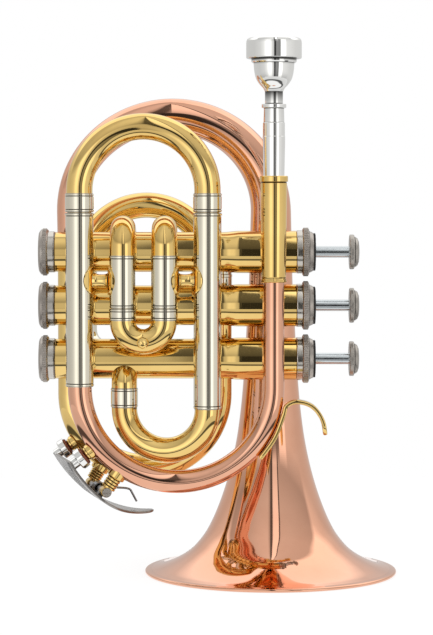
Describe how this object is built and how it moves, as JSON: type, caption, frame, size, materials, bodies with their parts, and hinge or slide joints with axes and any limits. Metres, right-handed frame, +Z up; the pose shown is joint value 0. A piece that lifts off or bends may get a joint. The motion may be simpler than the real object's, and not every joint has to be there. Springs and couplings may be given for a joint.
{
  "type": "pocket trumpet",
  "caption": "Pocket trumpet with a full-size bell, piston valves, pull-out valve and tuning slides, a double water key and a removable mouthpiece, stood on its bell.",
  "frame": {"origin": "middle of the outline, on the plane that the bell rim rests on", "axes": "+Z up along the bell and the leadpipe, +X towards the valve buttons, +Y from the leadpipe side towards the bell side"},
  "size_m": [0.1746, 0.1246, 0.2608],
  "materials": {
    "lacquered_brass": "clear lacquer over polished yellow brass",
    "rose_copper": "clear lacquer over polished rose copper",
    "nickel_silver": "polished nickel silver",
    "silver_plate": "silver plate",
    "dull_nickel": "dull nickel plate",
    "spring_steel": "bright steel",
    "cork": "natural cork",
    "felt": "felt"
  },
  "bodies": {
    "instrument": {"valve_casing_1": "lacquered_brass", "bottom_cap_1": "dull_nickel", "top_cap_1": "dull_nickel", "cap_felt_1": "felt", "valve_spring_1": "spring_steel", "valve_casing_2": "lacquered_brass", "bottom_cap_2": "dull_nickel", "top_cap_2": "dull_nickel", "cap_felt_2": "felt", "valve_spring_2": "spring_steel", "valve_casing_3": "lacquered_brass", "bottom_cap_3": "dull_nickel", "top_cap_3": "dull_nickel", "cap_felt_3": "felt", "valve_spring_3": "spring_steel", "bell": "rose_copper", "bell_tail": "lacquered_brass", "tail_elbow": "nickel_silver", "leadpipe": "rose_copper", "mouthpiece_receiver": "lacquered_brass", "pinky_hook": "lacquered_brass", "tuning_slide_tube_left": "nickel_silver", "tuning_slide_tube_right": "nickel_silver", "feed_bow": "lacquered_brass", "feed_ferrule": "nickel_silver", "feed_elbow": "lacquered_brass", "knuckle_1_2": "nickel_silver", "knuckle_2_3": "lacquered_brass", "first_slide_tube_left": "nickel_silver", "first_slide_tube_right": "nickel_silver", "first_gooseneck_left": "lacquered_brass", "first_gooseneck_right": "lacquered_brass", "second_slide_tube_left": "nickel_silver", "second_slide_tube_right": "nickel_silver", "third_slide_tube_left": "nickel_silver", "third_slide_tube_right": "nickel_silver", "brace_left": "lacquered_brass", "brace_right": "lacquered_brass", "bell_brace": "lacquered_brass", "nipple_front": "nickel_silver", "nipple_rear": "nickel_silver", "key_post_front": "lacquered_brass", "key_post_rear": "lacquered_brass", "pivot_screw": "spring_steel"},
    "valve_1": {"piston_1": "nickel_silver", "finger_button_1": "spring_steel"},
    "valve_2": {"piston_2": "nickel_silver", "finger_button_2": "spring_steel"},
    "valve_3": {"piston_3": "nickel_silver", "finger_button_3": "spring_steel"},
    "tuning_slide": {"tuning_slide_crook": "lacquered_brass"},
    "first_slide": {"first_slide_crook": "lacquered_brass", "first_slide_knob": "lacquered_brass"},
    "second_slide": {"second_slide_crook": "lacquered_brass"},
    "third_slide": {"third_slide_crook": "lacquered_brass"},
    "water_key": {"water_key_lever": "nickel_silver", "cork_front": "cork", "cork_rear": "cork", "water_key_spring": "spring_steel"},
    "mouthpiece": {"mouthpiece": "silver_plate"}
  },
  "joints": [
    {"name": "valve_1_travel", "type": "slide", "parent": "instrument", "child": "valve_1", "axis": [-1, 0, 0], "range_m": [0, 0.0162], "stiffness_N_per_m": 120, "springref_m": -0.01, "deforming": ["valve_spring_1"]},
    {"name": "valve_2_travel", "type": "slide", "parent": "instrument", "child": "valve_2", "axis": [-1, 0, 0], "range_m": [0, 0.0162], "stiffness_N_per_m": 120, "springref_m": -0.01, "deforming": ["valve_spring_2"]},
    {"name": "valve_3_travel", "type": "slide", "parent": "instrument", "child": "valve_3", "axis": [-1, 0, 0], "range_m": [0, 0.0162], "stiffness_N_per_m": 120, "springref_m": -0.01, "deforming": ["valve_spring_3"]},
    {"name": "tuning_slide_pull", "type": "slide", "parent": "instrument", "child": "tuning_slide", "axis": [0, 0, 1], "range_m": [0, 0.03]},
    {"name": "first_slide_pull", "type": "slide", "parent": "instrument", "child": "first_slide", "axis": [0, 0, -1], "range_m": [0, 0.01]},
    {"name": "second_slide_pull", "type": "slide", "parent": "instrument", "child": "second_slide", "axis": [0, 1, 0], "range_m": [0, 0.013]},
    {"name": "third_slide_pull", "type": "slide", "parent": "instrument", "child": "third_slide", "axis": [0, 0, 1], "range_m": [0, 0.015]},
    {"name": "mouthpiece_pull", "type": "slide", "parent": "instrument", "child": "mouthpiece", "axis": [0, 0, 1], "range_m": [0, 0.025]},
    {"name": "water_key_hinge", "type": "hinge", "parent": "instrument", "child": "water_key", "pos_m": [-0.0538, -0.0455, 0.0452], "axis": [0.2419, -0.9703, 0], "range_deg": [0, 10], "stiffness_Nm_per_rad": 0.05, "springref_deg": -28.65}
  ]
}
